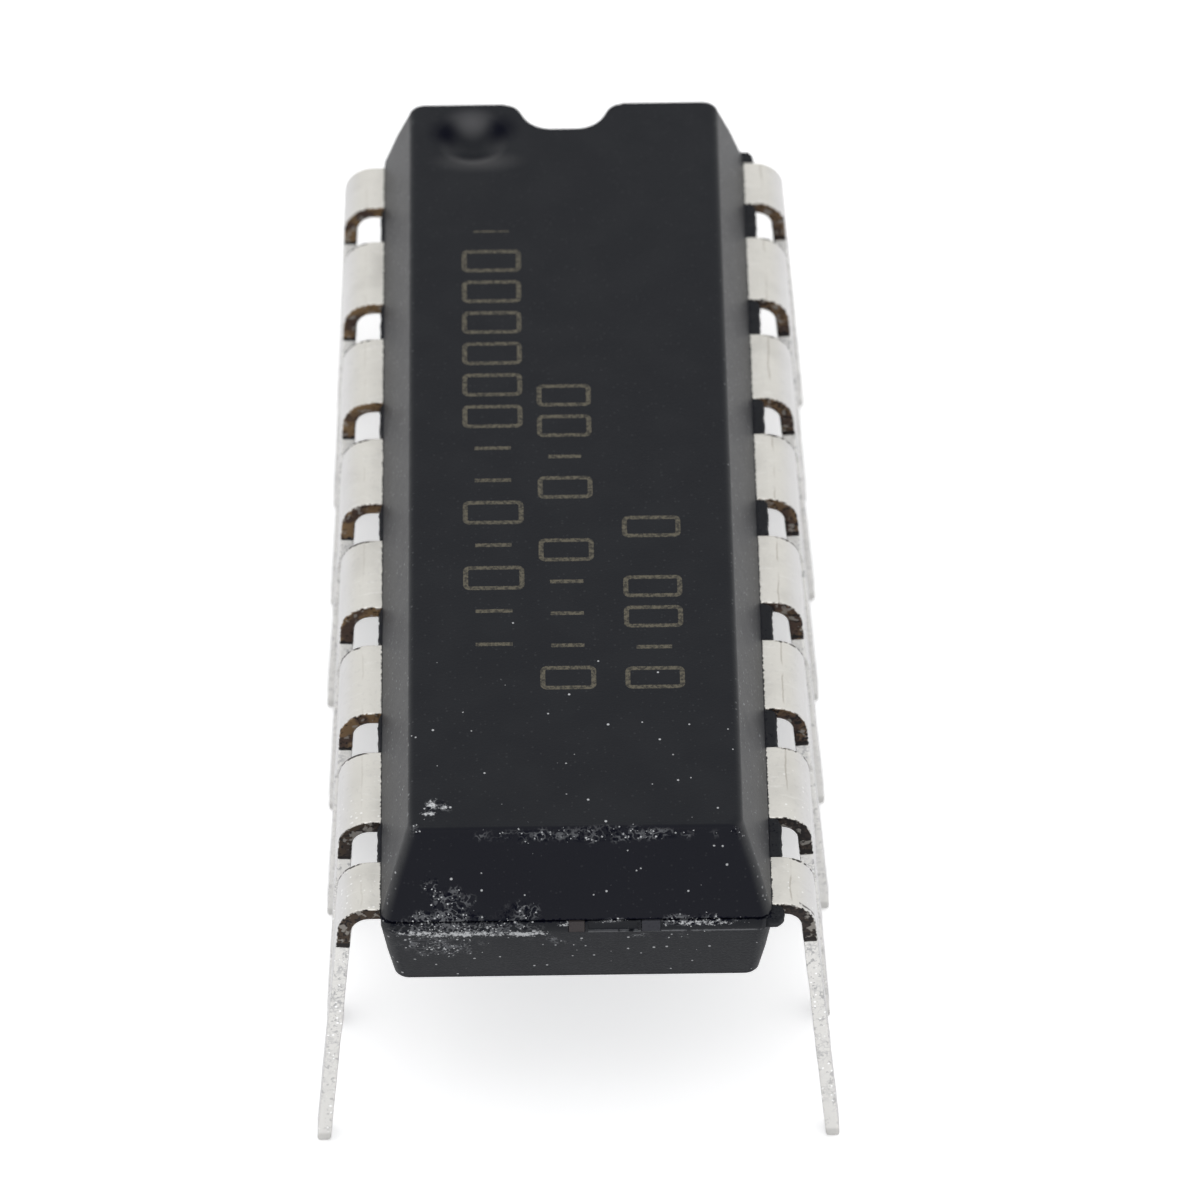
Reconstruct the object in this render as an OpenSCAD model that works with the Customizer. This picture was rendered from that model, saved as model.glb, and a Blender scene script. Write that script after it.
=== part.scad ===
// Dual in-line package: a moulded body on a stamped and formed lead frame.
// X runs across the two rows of leads, +Y along the body to the notched end, +Z up.
// The origin is on the plane of the lead tips, in the middle of the footprint.
// Lead 1 is at the notch on the -X side, and the numbers run round the body from there.

/* [Leads] */
// Leads in each of the two rows
pins_per_side = 8; // [4:1:8]
// Distance from one lead to the next along a row
pitch = 2.54; // [2.4:0.02:2.7]
// Thickness of the lead frame sheet
lead_t = 0.25; // [0.2:0.01:0.3]
// Width of the wide upper part of a lead
shoulder_w = 1.57; // [1.3:0.01:1.65]
// Width of the narrow part that goes through a board
leg_w = 0.46; // [0.36:0.01:0.56]
// Straight run of a lead between the body and its bend
shoulder_out = 0.19; // [0.1:0.01:0.4]
// Inside radius of the bend
bend_r = 0.3; // [0.2:0.01:0.45]
// Angle that each row leans out from upright
splay = 5.3; // [0:0.1:9]
// Height of the lead plane above the tips
tip_depth = 5.65; // [5.3:0.05:6.2]
// Depth below the lead plane where the wide part starts to narrow
wide_depth = 1.35; // [1.1:0.05:1.6]
// Depth below the lead plane where the narrow part starts, the stop on a board
seat_depth = 2.05; // [1.9:0.05:2.5]
// Bevel on the corners of a tip
tip_bevel = 0.08; // [0.02:0.01:0.12]

/* [Cut dam bars] */
// How far the stub of a cut dam bar stands out from a shoulder
stub_out = 0.04; // [0.01:0.01:0.08]
// Depth below the lead plane where the stub ends
stub_depth = 0.8; // [0.6:0.05:1]

/* [Body] */
// Body length beyond the centre line of the last lead
end_margin = 0.6; // [0.5:0.01:0.85]
// Body width at the parting line
body_w = 6.52; // [6.3:0.02:7]
// Height of the upper mould half above the lead plane
upper_h = 1.81; // [1.5:0.01:2.2]
// Height of the lower mould half below the lead plane
lower_h = 1.6; // [1.3:0.01:1.8]
// Inward slope of the upper half at each end
upper_end_draft = 0.54; // [0.2:0.01:0.8]
// Inward slope of the upper half at each side
upper_side_draft = 0.48; // [0.2:0.01:0.7]
// Inward slope of the lower half at each end
lower_end_draft = 0.36; // [0.1:0.01:0.6]
// Inward slope of the lower half at each side
lower_side_draft = 0.25; // [0.1:0.01:0.5]
// Radius of the upright corners
corner_r = 0.22; // [0.15:0.01:0.4]
// Radius along the edges of the top and the underside
edge_r = 0.11; // [0.04:0.01:0.15]
// Height of the fine groove above the parting band
groove_h = 0.03; // [0.02:0.01:0.05]
// Depth of that groove
groove_depth = 0.035; // [0.02:0.005:0.05]

/* [Moulding marks] */
// Width of the flat at the bottom of the notch
notch_flat = 0.44; // [0.1:0.02:0.6]
// Radius of the round corners of the notch
notch_r = 0.55; // [0.3:0.01:0.6]
// Angle between the sides of the notch and its flat
notch_slant = 64; // [45:1:75]
// Rounding where the notch runs out into the end
notch_mouth_r = 0.3; // [0.1:0.01:0.4]
// How far the notch reaches in, square to the sloping end
notch_reach = 0.67; // [0.6:0.01:0.9]
// Depth of the notch below the top
notch_depth = 1.4; // [0.8:0.05:1.6]
// Diameter of the dished mark beside lead 1
dimple_d = 1.3; // [0.8:0.05:1.5]
// Depth of the dished mark
dimple_depth = 0.24; // [0.1:0.01:0.3]
// Distance of the dished mark from the middle line
dimple_x = 1.63; // [1.5:0.01:1.75]
// Distance of the dished mark from the end of the top face
dimple_inset = 0.95; // [0.9:0.01:1.3]
// Diameter of the two ejector marks under the body
ejector_d = 1.5; // [1:0.1:2.4]
// Depth of the ejector marks
ejector_depth = 0.06; // [0.03:0.01:0.12]
// Width of the resin flash along the right-hand leads
flash_right = 0.21; // [0.15:0.01:0.35]
// Width of the resin flash along the left-hand leads
flash_left = 0.07; // [0.04:0.01:0.15]
// Depth of the slot between the two tie bar ends
slot_depth = 0.12; // [0.05:0.01:0.2]

/* [Lead frame inside] */
// Length of the wide shoulder inside the body
shoulder_in = 0.6; // [0.5:0.01:0.7]
// Diameter of the locking hole that the resin fills
lock_hole_d = 0.34; // [0.2:0.01:0.4]
// Width of the inner fingers
finger_w = 0.4; // [0.3:0.01:0.45]
// Gap between the fingers and the die paddle
finger_gap = 0.25; // [0.2:0.01:0.3]
// Straight end of each finger
finger_land = 0.4; // [0.3:0.01:0.5]
// Width of the paddle round the die
paddle_margin = 0.5; // [0.3:0.01:0.6]
// Width of the tie bars on the middle line
tie_w = 0.26; // [0.2:0.01:0.4]
// Width of the second tie bar at the plain end
prong_w = 0.31; // [0.2:0.01:0.4]
// Distance of the second tie bar from the middle line
prong_x = 1.24; // [1:0.02:1.4]

/* [Die and wires] */
// Die size across the body
die_w = 2.2; // [1.6:0.1:2.4]
// Die size along the body
die_l = 4; // [3:0.1:4.4]
// Die thickness
die_t = 0.3; // [0.2:0.01:0.4]
// Thickness of the die attach film
attach_t = 0.04; // [0.02:0.01:0.08]
// How far the film shows round the die
attach_margin = 0.1; // [0.05:0.01:0.2]
// Diameter of a bond wire
wire_d = 0.05; // [0.03:0.005:0.06]
// Height of a wire loop over its ends
loop_h = 0.35; // [0.2:0.01:0.6]
// Distance of the bond pads from the edge of the die
pad_inset = 0.15; // [0.1:0.01:0.2]

/* [Hidden] */
// Round parts of the body and of the lead frame
$fn = 48;
corner_fn = 32;
wire_sides = 6;
wire_rings = 10;

// A thin layer for the outlines that a hull joins
film = 0.001;
// How far a cut runs past the surface that it opens
over = 1;

pin_count = 2 * pins_per_side;
row_end_y = (pins_per_side - 1) / 2 * pitch;
body_half_l = row_end_y + end_margin;
body_half_w = body_w / 2;
top_half_l = body_half_l - upper_end_draft;

// Bend and leg, seen along the row
bend_x = body_half_w + shoulder_out;
bend_z = -lead_t / 2 - bend_r;
// The leg runs past the tip plane and is cut off level there
leg_run = (tip_depth + bend_z) / cos(splay) + lead_t;
leg_half = leg_w / 2;
shoulder_half = shoulder_w / 2;

shoulder_in_x = body_half_w - shoulder_in;
lock_hole_x = body_half_w - shoulder_in / 2;
paddle_half_w = die_w / 2 + paddle_margin;
paddle_half_l = die_l / 2 + paddle_margin;
side_fingers = 2;
// Room across the body between a shoulder and the fingers' ends beside the die
side_room = shoulder_in_x - paddle_half_w - finger_gap;
// Straight end of a finger beside the die, and straight start of every finger
side_land = side_room / 2;
finger_knee = side_room / 3;
// Place of the outermost of those fingers, in line with the end of the paddle
side_finger_y = paddle_half_l - finger_w / 2;

// Second tie bar: its length along the end, and the length of its slanted root
prong_l = 1.3;
prong_root = 1.2;
// Wall between a tie bar end and the slot beside it
slot_wall = 0.06;

frame_top = lead_t / 2;
// Angle of the upper half's ends from upright
upper_end_slope = atan(upper_end_draft / (upper_h - frame_top - groove_h));
attach_top = frame_top + attach_t;
die_top = attach_top + die_t;
ball_r = 0.9 * wire_d;
ball_h = 0.6 * wire_d;

dimple_r = (pow(dimple_d / 2, 2) + pow(dimple_depth, 2)) / (2 * dimple_depth);
ejector_y = 0.6 * body_half_l;

// Straight side of the notch, from its round corner to its rounded mouth
notch_side_from = [
    notch_flat / 2 + notch_r * sin(notch_slant),
    notch_r * (1 - cos(notch_slant)) - notch_reach
];
notch_side_h = -notch_mouth_r * (1 - cos(notch_slant)) - notch_side_from[1];
notch_side_to = notch_side_from + notch_side_h * [1 / tan(notch_slant), 1];
notch_half_mouth = notch_side_to[0] + notch_mouth_r * sin(notch_slant);

resin = "#2e2f33";
tin = "#d8d7d3";
copper = "#a9683f";
film_grey = "#9a9da0";
silicon = "#59616e";
gold = "#d4a13c";

function numbered(word, pin) = str(word, pin < 10 ? "_0" : "_", pin);

// Side of a lead: -1 on the left of the notch, 1 on the right
function side(pin) = pin <= pins_per_side ? -1 : 1;
// Place of a lead in its row, from 0 at the notch
function place(pin) = pin <= pins_per_side ? pin - 1 : pin_count - pin;
function lead_y(pin) = row_end_y - place(pin) * pitch;
// Towards which end of the body a lead lies: 1 for the notch, -1 for the plain end
function end_of(pin) = lead_y(pin) < 0 ? -1 : 1;
// Leads counted from the middle of the row: 1, 2 and on in an even row
function from_middle(pin) = abs(lead_y(pin)) / pitch + 0.5;
// The leads near the middle reach the sides of the die, and the others its ends
function at_side(pin) = from_middle(pin) <= side_fingers + 0.25;
// Fingers at the end of the die, counted out from the tie bar
function from_tie(pin) = pins_per_side / 2 - from_middle(pin);

// A point on the straight end of a finger on the +X and +Y side: 0 is the end beside the
// die, and 1 is where the finger turns towards its shoulder
function land_point(pin, share) = at_side(pin)
    ? [paddle_half_w + finger_gap + share * side_land,
       (from_middle(pin) - 0.5) * side_finger_y / (side_fingers - 0.5)]
    : [tie_w / 2 + finger_gap + finger_w / 2 + from_tie(pin) * (finger_w + finger_gap),
       paddle_half_l + finger_gap + share * finger_land];
// Bond pads stand in a row along each edge of the die
function pad_point(pin) = at_side(pin)
    ? [die_w / 2 - pad_inset, (from_middle(pin) - 0.5) * die_l / 2 / side_fingers]
    : [(from_tie(pin) + 0.5) * die_w / 4, die_l / 2 - pad_inset];

function unit(v) = v / norm(v);
function normal(v) = [-v[1], v[0]];
// One edge of a bent strip, with mitred corners, a distance off its middle line
function strip_edge(path, off) = [
    for (i = [0:len(path) - 1])
        let (into = unit(i > 0 ? path[i] - path[i - 1] : path[1] - path[0]))
        let (out = i < len(path) - 1 ? unit(path[i + 1] - path[i]) : into)
        let (mitre = unit(normal(into) + normal(out)))
        path[i] + off * mitre / (mitre * normal(into))
];
function reversed(list) = [for (i = [len(list) - 1:-1:0]) list[i]];

// A bent strip of constant width in the plane of the lead frame
module strip(path, w) {
    polygon(concat(strip_edge(path, w / 2), reversed(strip_edge(path, -w / 2))));
}

// Everything is drawn from the lead plane and stands on the lead tips
module from_lead_plane() {
    translate([0, 0, tip_depth])
        children();
}

module sheet_metal() {
    translate([0, 0, -lead_t / 2])
        linear_extrude(lead_t)
            children();
}

// Lead 1 to 4, and so on round the body, are mirror images of one drawn on the +X side
module on_side(pin) {
    mirror([side(pin) < 0 ? 1 : 0, 0, 0])
        children();
}

// Half widths of a shoulder towards the notch and towards the plain end: the last
// lead of a row has no shoulder on its outer side
function half_to_notch(pin) = place(pin) == 0 ? leg_half : shoulder_half;
function half_to_plain(pin) = place(pin) == pins_per_side - 1 ? leg_half : shoulder_half;

// The flat part of a lead, from its end beside the die to the bend
module lead_flat(pin) {
    y = lead_y(pin);
    low = y - half_to_plain(pin);
    high = y + half_to_notch(pin);
    tip = land_point(pin, 0);
    turn = land_point(pin, 1);
    difference() {
        union() {
            translate([shoulder_in_x, low])
                square([bend_x - shoulder_in_x, high - low]);
            translate([body_half_w, low - stub_out])
                square([bend_x - body_half_w, high - low + 2 * stub_out]);
            strip([
                [shoulder_in_x + finger_w, y],
                [shoulder_in_x - finger_knee, y],
                [turn[0], end_of(pin) * turn[1]],
                [tip[0], end_of(pin) * tip[1]]
            ], finger_w);
        }
        translate([lock_hole_x, (low + high) / 2])
            circle(d = lock_hole_d);
    }
}

// The bend and the leg seen along the row, X to the right and Z up
module leg_profile() {
    reach = 2 * (bend_r + lead_t);
    translate([bend_x, bend_z]) {
        intersection() {
            difference() {
                circle(r = bend_r + lead_t);
                circle(r = bend_r);
            }
            polygon([
                [0, 0],
                [0, reach],
                [reach, reach],
                reach * [cos(splay), sin(splay)]
            ]);
        }
        rotate(splay)
            translate([bend_r, -leg_run])
                square([lead_t, leg_run]);
    }
}

// One edge of a lead seen from the side of the package, from the bend down to the tip
function leg_edge(half, dir) = [
    for (p = [
        [half + stub_out, lead_t],
        [half + stub_out, -stub_depth],
        [half, -stub_depth],
        [half, -wide_depth],
        [leg_half, -seat_depth],
        [leg_half, -tip_depth + tip_bevel],
        [leg_half - tip_bevel, -tip_depth]
    ]) [dir * p[0], p[1]]
];

module leg_outline(pin) {
    polygon(concat(
        leg_edge(half_to_plain(pin), -1),
        reversed(leg_edge(half_to_notch(pin), 1))
    ));
}

// The formed part of a lead: the bent sheet, cut to the outline of the leg
module lead_formed(pin) {
    intersection() {
        translate([0, lead_y(pin) + pitch, 0])
            rotate([90, 0, 0])
                linear_extrude(2 * pitch)
                    leg_profile();
        translate([body_half_w, lead_y(pin), 0])
            rotate([90, 0, 90])
                linear_extrude(2 * pitch)
                    leg_outline(pin);
    }
}

module lead_blank(pin) {
    on_side(pin) {
        sheet_metal()
            lead_flat(pin);
        lead_formed(pin);
    }
}

module lead(pin) {
    color(tin)
        from_lead_plane()
            lead_blank(pin);
}

// The paddle under the die, with a tie bar to each end of the body
module paddle_blank() {
    sheet_metal()
        square([2 * paddle_half_w, 2 * paddle_half_l], center = true);
    sheet_metal()
        square([tie_w, 2 * body_half_l], center = true);
    sheet_metal()
        strip([
            [0, prong_l + prong_root - body_half_l],
            [prong_x, prong_l - body_half_l],
            [prong_x, -body_half_l]
        ], prong_w);
}

module die_paddle() {
    color(copper)
        from_lead_plane()
            paddle_blank();
}

module attach_blank() {
    translate([0, 0, frame_top + attach_t / 2])
        cube([die_w + 2 * attach_margin, die_l + 2 * attach_margin, attach_t], center = true);
}

module die_attach() {
    color(film_grey)
        from_lead_plane()
            attach_blank();
}

module die_blank() {
    translate([0, 0, attach_top + die_t / 2])
        cube([die_w, die_l, die_t], center = true);
}

module silicon_die() {
    color(silicon)
        from_lead_plane()
            die_blank();
}

// A wire rises straight off its ball, arches over and comes down straight on its finger
function wire_turn(i) = 180 * i / (wire_rings - 1);
function wire_along(i) = (1 - cos(wire_turn(i))) / 2;
function wire_point(from, to, i) =
    from + (to - from) * wire_along(i) + [0, 0, loop_h * sin(wire_turn(i))];
// Direction of the wire in its own upright plane: along the run, and up
function wire_slope(from, to, i) =
    let (run = norm([to[0] - from[0], to[1] - from[1]]))
    unit([run * sin(wire_turn(i)),
          (to[2] - from[2]) * sin(wire_turn(i)) + 2 * loop_h * cos(wire_turn(i))]);

module wire(from, to) {
    ahead = unit([to[0] - from[0], to[1] - from[1]]);
    last = wire_rings - 1;
    points = [
        for (i = [0:last])
            let (slope = wire_slope(from, to, i))
            let (flat = i == 0 ? [0, 1] : i == last ? [0, -1] : slope)
            for (k = [0:wire_sides - 1])
                let (across = wire_d / 2 * cos(360 * k / wire_sides))
                let (over_it = wire_d / 2 * sin(360 * k / wire_sides))
                wire_point(from, to, i)
                    + across * [-ahead[1], ahead[0], 0]
                    + over_it * [-flat[1] * ahead[0], -flat[1] * ahead[1], flat[0]]
    ];
    walls = [
        for (i = [0:last - 1], k = [0:wire_sides - 1])
            let (next = (k + 1) % wire_sides)
            [i * wire_sides + k, (i + 1) * wire_sides + k,
             (i + 1) * wire_sides + next, i * wire_sides + next]
    ];
    caps = [
        [for (k = [0:wire_sides - 1]) k],
        [for (k = [wire_sides - 1:-1:0]) last * wire_sides + k]
    ];
    polyhedron(points, concat(walls, caps));
}

module wire_blank(pin) {
    pad = pad_point(pin);
    land = land_point(pin, 0.5);
    on_side(pin) {
        translate([pad[0], end_of(pin) * pad[1], die_top])
            cylinder(r = ball_r, h = ball_h, $fn = wire_sides);
        wire(
            [pad[0], end_of(pin) * pad[1], die_top + ball_h],
            [land[0], end_of(pin) * land[1], frame_top]
        );
    }
}

module bond_wire(pin) {
    color(gold)
        from_lead_plane()
            wire_blank(pin);
}

// The outline of the parting line, drawn in by an inset, between two heights
module slab(from, to, inset = 0) {
    hull()
        for (x = [-1, 1], y = [-1, 1])
            translate([x * (body_half_w - corner_r), y * (body_half_l - corner_r), from])
                cylinder(r = corner_r - inset, h = to - from, $fn = corner_fn);
}

// A mould half from its foot up, drawn in to its flat face, with a round edge
module mould_half(foot, h, end_draft, side_draft) {
    hull()
        for (x = [-1, 1], y = [-1, 1]) {
            translate([x * (body_half_w - corner_r), y * (body_half_l - corner_r), foot])
                cylinder(r = corner_r, h = film, $fn = corner_fn);
            translate([
                x * (body_half_w - side_draft - corner_r),
                y * (body_half_l - end_draft - corner_r),
                h - edge_r
            ])
                for (turn = [0:30:90])
                    translate([0, 0, edge_r * sin(turn) - film])
                        cylinder(r = corner_r - edge_r * (1 - cos(turn)), h = film, $fn = corner_fn);
        }
}

// One edge of the notch, from its flat out past the end of the body
function notch_edge(dir) = [
    for (p = [
        [notch_flat / 2, -notch_reach],
        notch_side_from,
        notch_side_to,
        [notch_half_mouth, notch_side_to[1]],
        [notch_half_mouth, over]
    ]) [dir * p[0], p[1]]
];

// The notch seen square to the sloping end, with Y 0 on it
module notch_outline() {
    for (dir = [-1, 1])
        translate([dir * notch_flat / 2, notch_r - notch_reach])
            circle(r = notch_r);
    difference() {
        polygon(concat(notch_edge(1), reversed(notch_edge(-1))));
        for (dir = [-1, 1])
            translate([dir * notch_half_mouth, -notch_mouth_r])
                circle(r = notch_mouth_r);
    }
}

// The walls of the notch lean with the end of the body, and its floor is level
module notch() {
    intersection() {
        translate([0, top_half_l, upper_h])
            rotate([upper_end_slope, 0, 0])
                translate([0, 0, -upper_h])
                    linear_extrude(upper_h + over)
                        notch_outline();
        translate([-body_half_w, 0, upper_h - notch_depth])
            cube([body_w, 2 * body_half_l, notch_depth + over]);
    }
}

module dimple() {
    translate([-dimple_x, top_half_l - dimple_inset, upper_h + dimple_r - dimple_depth])
        sphere(r = dimple_r, $fn = 96);
}

module ejector_marks() {
    for (y = [-1, 1])
        translate([0, y * ejector_y, -lower_h - over])
            cylinder(d = ejector_d, h = ejector_depth + over);
}

// Between the two tie bar ends on the plain end
module end_slot() {
    from = tie_w / 2 + slot_wall;
    to = prong_x - prong_w / 2 - slot_wall;
    translate([from, slot_depth - body_half_l - over, -lead_t / 2])
        cube([to - from, over, lead_t]);
}

// Resin squeezed out between the leads in the thickness of the lead frame
module flash() {
    sheet_metal() {
        translate([0, -body_half_l + corner_r])
            square([body_half_w + flash_right, 2 * (body_half_l - corner_r)]);
        for (y = [-1, 1])
            translate([body_half_w + flash_right - corner_r, y * (body_half_l - corner_r)])
                circle(r = corner_r);
        translate([0, -body_half_l])
            square([body_half_w + flash_right - corner_r, 2 * body_half_l]);
        translate([-body_half_w - flash_left, -row_end_y])
            square([body_half_w, 2 * row_end_y]);
    }
}

module package_body() {
    color(resin)
        from_lead_plane()
            difference() {
                union() {
                    mould_half(frame_top + groove_h, upper_h, upper_end_draft, upper_side_draft);
                    mirror([0, 0, 1])
                        mould_half(frame_top, lower_h, lower_end_draft, lower_side_draft);
                    slab(-frame_top, frame_top);
                    slab(0, frame_top + 2 * groove_h, groove_depth);
                    flash();
                }
                notch();
                dimple();
                ejector_marks();
                end_slot();
                paddle_blank();
                attach_blank();
                die_blank();
                for (pin = [1:pin_count]) {
                    lead_blank(pin);
                    wire_blank(pin);
                }
            }
}

package_body();
die_paddle();
die_attach();
silicon_die();
for (pin = [1:pin_count]) {
    lead(pin);
    bond_wire(pin);
}
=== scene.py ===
import math

import bmesh
import bpy
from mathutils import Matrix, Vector, noise


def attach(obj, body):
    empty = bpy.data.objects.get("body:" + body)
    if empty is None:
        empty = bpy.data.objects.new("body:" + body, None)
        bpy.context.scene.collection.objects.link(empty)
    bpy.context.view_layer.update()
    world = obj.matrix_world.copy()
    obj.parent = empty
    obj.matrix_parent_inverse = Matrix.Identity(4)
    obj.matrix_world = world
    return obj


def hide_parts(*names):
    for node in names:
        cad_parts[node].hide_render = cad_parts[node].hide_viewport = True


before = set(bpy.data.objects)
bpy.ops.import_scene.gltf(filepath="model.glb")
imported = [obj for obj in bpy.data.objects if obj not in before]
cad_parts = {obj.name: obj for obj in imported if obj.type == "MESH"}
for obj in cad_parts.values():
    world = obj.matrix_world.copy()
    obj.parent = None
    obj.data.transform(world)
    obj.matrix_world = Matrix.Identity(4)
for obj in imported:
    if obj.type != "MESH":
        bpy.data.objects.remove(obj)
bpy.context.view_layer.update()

# Shapes are worked out in millimetres from the middle plane of the lead frame, and go to metres last
mm = 0.001
leadPlane = 5.65  # height of that plane over the lead tips

camera = {
    "place": (-0.5625, -103.2649, 108.183),  # mm, from the middle of the footprint
    "turn": (0.7799, 0.004, -0.0145),  # radians
    "lens": 250.58,
    "sensor": 36.0,
    "focus": 140.0,  # mm, on the plain end, so that the far end is a little soft
    "fStop": 260.0,
    "clip": (0.01, 20.0),  # metres
}
camData = bpy.data.cameras.new("photoCamera")
camData.lens = camera["lens"]
camData.sensor_width = camera["sensor"]
camData.clip_start, camData.clip_end = camera["clip"]
camData.dof.use_dof = True
camData.dof.focus_distance = camera["focus"] * mm
camData.dof.aperture_fstop = camera["fStop"]
cam = bpy.data.objects.new("photoCamera", camData)
cam.location = Vector(camera["place"]) * mm
cam.rotation_euler = camera["turn"]
bpy.context.scene.collection.objects.link(cam)
bpy.context.scene.camera = cam
bpy.context.scene.view_settings.view_transform = "Standard"
print("camera placed")


class Wire:
    # an output socket that sums and products can be written with
    def __init__(self, tree, socket=None):
        self.tree = tree
        self.socket = socket

    def add(self, kind, settings=None, values=None, out=0):
        # any node: its type, then its settings, then what goes into its sockets
        node = self.tree.nodes.new("ShaderNode" + kind)
        for name, value in (settings or {}).items():
            setattr(node, name, value)
        for name, value in (values or {}).items():
            if isinstance(value, Wire):
                self.tree.links.new(value.socket, node.inputs[name])
            else:
                node.inputs[name].default_value = value
        return Wire(self.tree, node.outputs[out] if node.outputs else None)

    def other(self, name):
        # another output of the same node
        return Wire(self.tree, self.socket.node.outputs[name])

    def maths(self, operation, *others):
        return self.add("Math", {"operation": operation}, dict(enumerate((self, *others))))

    def __add__(self, other):
        return self.maths("ADD", other)

    def __sub__(self, other):
        return self.maths("SUBTRACT", other)

    def __rsub__(self, other):
        return self.add("Math", {"operation": "SUBTRACT"}, {0: other, 1: self})

    def __mul__(self, other):
        return self.maths("MULTIPLY", other)

    def __truediv__(self, other):
        return self.maths("DIVIDE", other)

    def __pow__(self, power):
        return self.maths("POWER", power)

    def __neg__(self):
        return self.maths("MULTIPLY", -1.0)

    __radd__ = __add__
    __rmul__ = __mul__

    def ramp(self, low, high):
        # 0 below low and 1 above high, smooth between, and falling where low is the higher
        return self.add("MapRange", {"interpolation_type": "SMOOTHSTEP"},
                        {"Value": self, "From Min": low, "From Max": high})

    def atLeast(self, other):
        return self.maths("MAXIMUM", other)

    def atMost(self, other):
        return self.maths("MINIMUM", other)

    def above(self, edge):
        return self.maths("GREATER_THAN", edge)

    def below(self, edge):
        return self.maths("LESS_THAN", edge)

    def size(self):
        # without its sign
        return self.maths("ABSOLUTE")

    def whole(self):
        return self.maths("FLOOR")

    def fraction(self):
        return self.maths("FRACT")

    def root(self):
        return self.maths("SQRT")

    def mix(self, mask, other):
        # this colour, and the other one where the mask is 1
        if not isinstance(other, Wire):
            other = (*other, 1)
        return self.add("Mix", {"data_type": "RGBA"}, {0: mask, 6: self, 7: other}, out=2)


def rgb(code, gain=1.0):
    # a colour written as the screen shows it, in linear light
    parts = [int(code[i:i + 2], 16) / 255 for i in (0, 2, 4)]
    return tuple(gain * (p / 12.92 if p <= 0.04045 else ((p + 0.055) / 1.055) ** 2.4) for p in parts)


def startMaterial(name):
    material = bpy.data.materials.new(name)
    material.use_nodes = True
    tree = material.node_tree
    tree.nodes.clear()
    start = Wire(tree)
    # places in millimetres, as in the shapes
    where = start.add("TexCoord", out="Object")
    where = start.add("VectorMath", {"operation": "MULTIPLY_ADD"},
                      {0: where, 1: (1 / mm,) * 3, 2: (0, 0, -leadPlane)})
    return material, start, where


def finishMaterial(start, shader):
    start.add("OutputMaterial", values={"Surface": shader})


def grain(where, scale, detail=2.0, rough=0.5, stretch=None):
    if stretch:
        where = where.add("VectorMath", {"operation": "MULTIPLY"}, {0: where, 1: stretch})
    return where.add("TexNoise", values={"Vector": where, "Scale": scale, "Detail": detail,
                                         "Roughness": rough})


def along(where, axis):
    return where.add("SeparateXYZ", values={0: where}, out="XYZ".index(axis))


def near(where, place, reach):
    # 1 at a place, down to 0 at its reach along X, Y and Z
    off = where.add("VectorMath", {"operation": "SUBTRACT"}, {0: where, 1: place})
    off = where.add("VectorMath", {"operation": "DIVIDE"}, {0: off, 1: reach})
    return 1 - where.add("VectorMath", {"operation": "LENGTH"}, {0: off}, out="Value").ramp(0.0, 1.0)


def strongest(where, spots, level=None):
    # the highest of several such spots, each with its strength
    for place, reach, strength in spots:
        spot = near(where, place, reach) * strength
        level = spot if level is None else level.atLeast(spot)
    return level


def colour(start, value):
    # a plain colour to begin mixing with
    return start.add("Mix", {"data_type": "RGBA"}, {0: 0.0, 6: (*value, 1)}, out=2)


def rippled(place, waves):
    # noise for shapes, of several sizes added up
    return sum(noise.noise(place * size) * weight for size, weight in waves)


def addPiece(name, shape, material, nodes):
    # shape is a bmesh in millimetres from the lead plane
    for vert in shape.verts:
        vert.co = (vert.co + Vector((0, 0, leadPlane))) * mm
    mesh = bpy.data.meshes.new(name)
    shape.to_mesh(mesh)
    shape.free()
    mesh.materials.append(material)
    piece = bpy.data.objects.new(name, mesh)
    bpy.context.scene.collection.objects.link(piece)
    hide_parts(*nodes)
    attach(piece, "root")
    return piece


def loft(shape, rings, capStart=True, capEnd=True):
    # closed rings of points, each joined to the next
    made = [[shape.verts.new(point) for point in ring] for ring in rings]
    count = len(rings[0])
    for below, above in zip(made, made[1:]):
        for i in range(count):
            j = (i + 1) % count
            shape.faces.new((below[i], below[j], above[j], above[i]))
    if capStart:
        shape.faces.new(reversed(made[0]))
    if capEnd:
        shape.faces.new(made[-1])
    return made


def roundedRing(halfX, halfY, radius, z, steps=10):
    ring = []
    for corner, (sx, sy) in enumerate(((1, 1), (-1, 1), (-1, -1), (1, -1))):
        for i in range(steps + 1):
            turn = math.radians(90 * (corner + i / steps))
            ring.append((sx * (halfX - radius) + radius * math.cos(turn),
                         sy * (halfY - radius) + radius * math.sin(turn), z))
    return ring


def carve(shape, cutters):
    # takes the cutters out of the shape, all in millimetres
    def asObject(name, source):
        mesh = bpy.data.meshes.new(name)
        bmesh.ops.recalc_face_normals(source, faces=source.faces)
        source.to_mesh(mesh)
        source.free()
        made = bpy.data.objects.new(name, mesh)
        bpy.context.scene.collection.objects.link(made)
        return made

    blank = asObject("blank", shape)
    tools = [asObject("tool", cutter) for cutter in cutters]
    for tool in tools:
        cut = blank.modifiers.new("cut", "BOOLEAN")
        cut.object = tool
        cut.operation = "DIFFERENCE"
        cut.solver = "EXACT"
    bpy.context.view_layer.update()
    result = bmesh.new()
    result.from_mesh(blank.evaluated_get(bpy.context.evaluated_depsgraph_get()).to_mesh())
    for used in [blank, *tools]:
        bpy.data.objects.remove(used)
    return result


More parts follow.
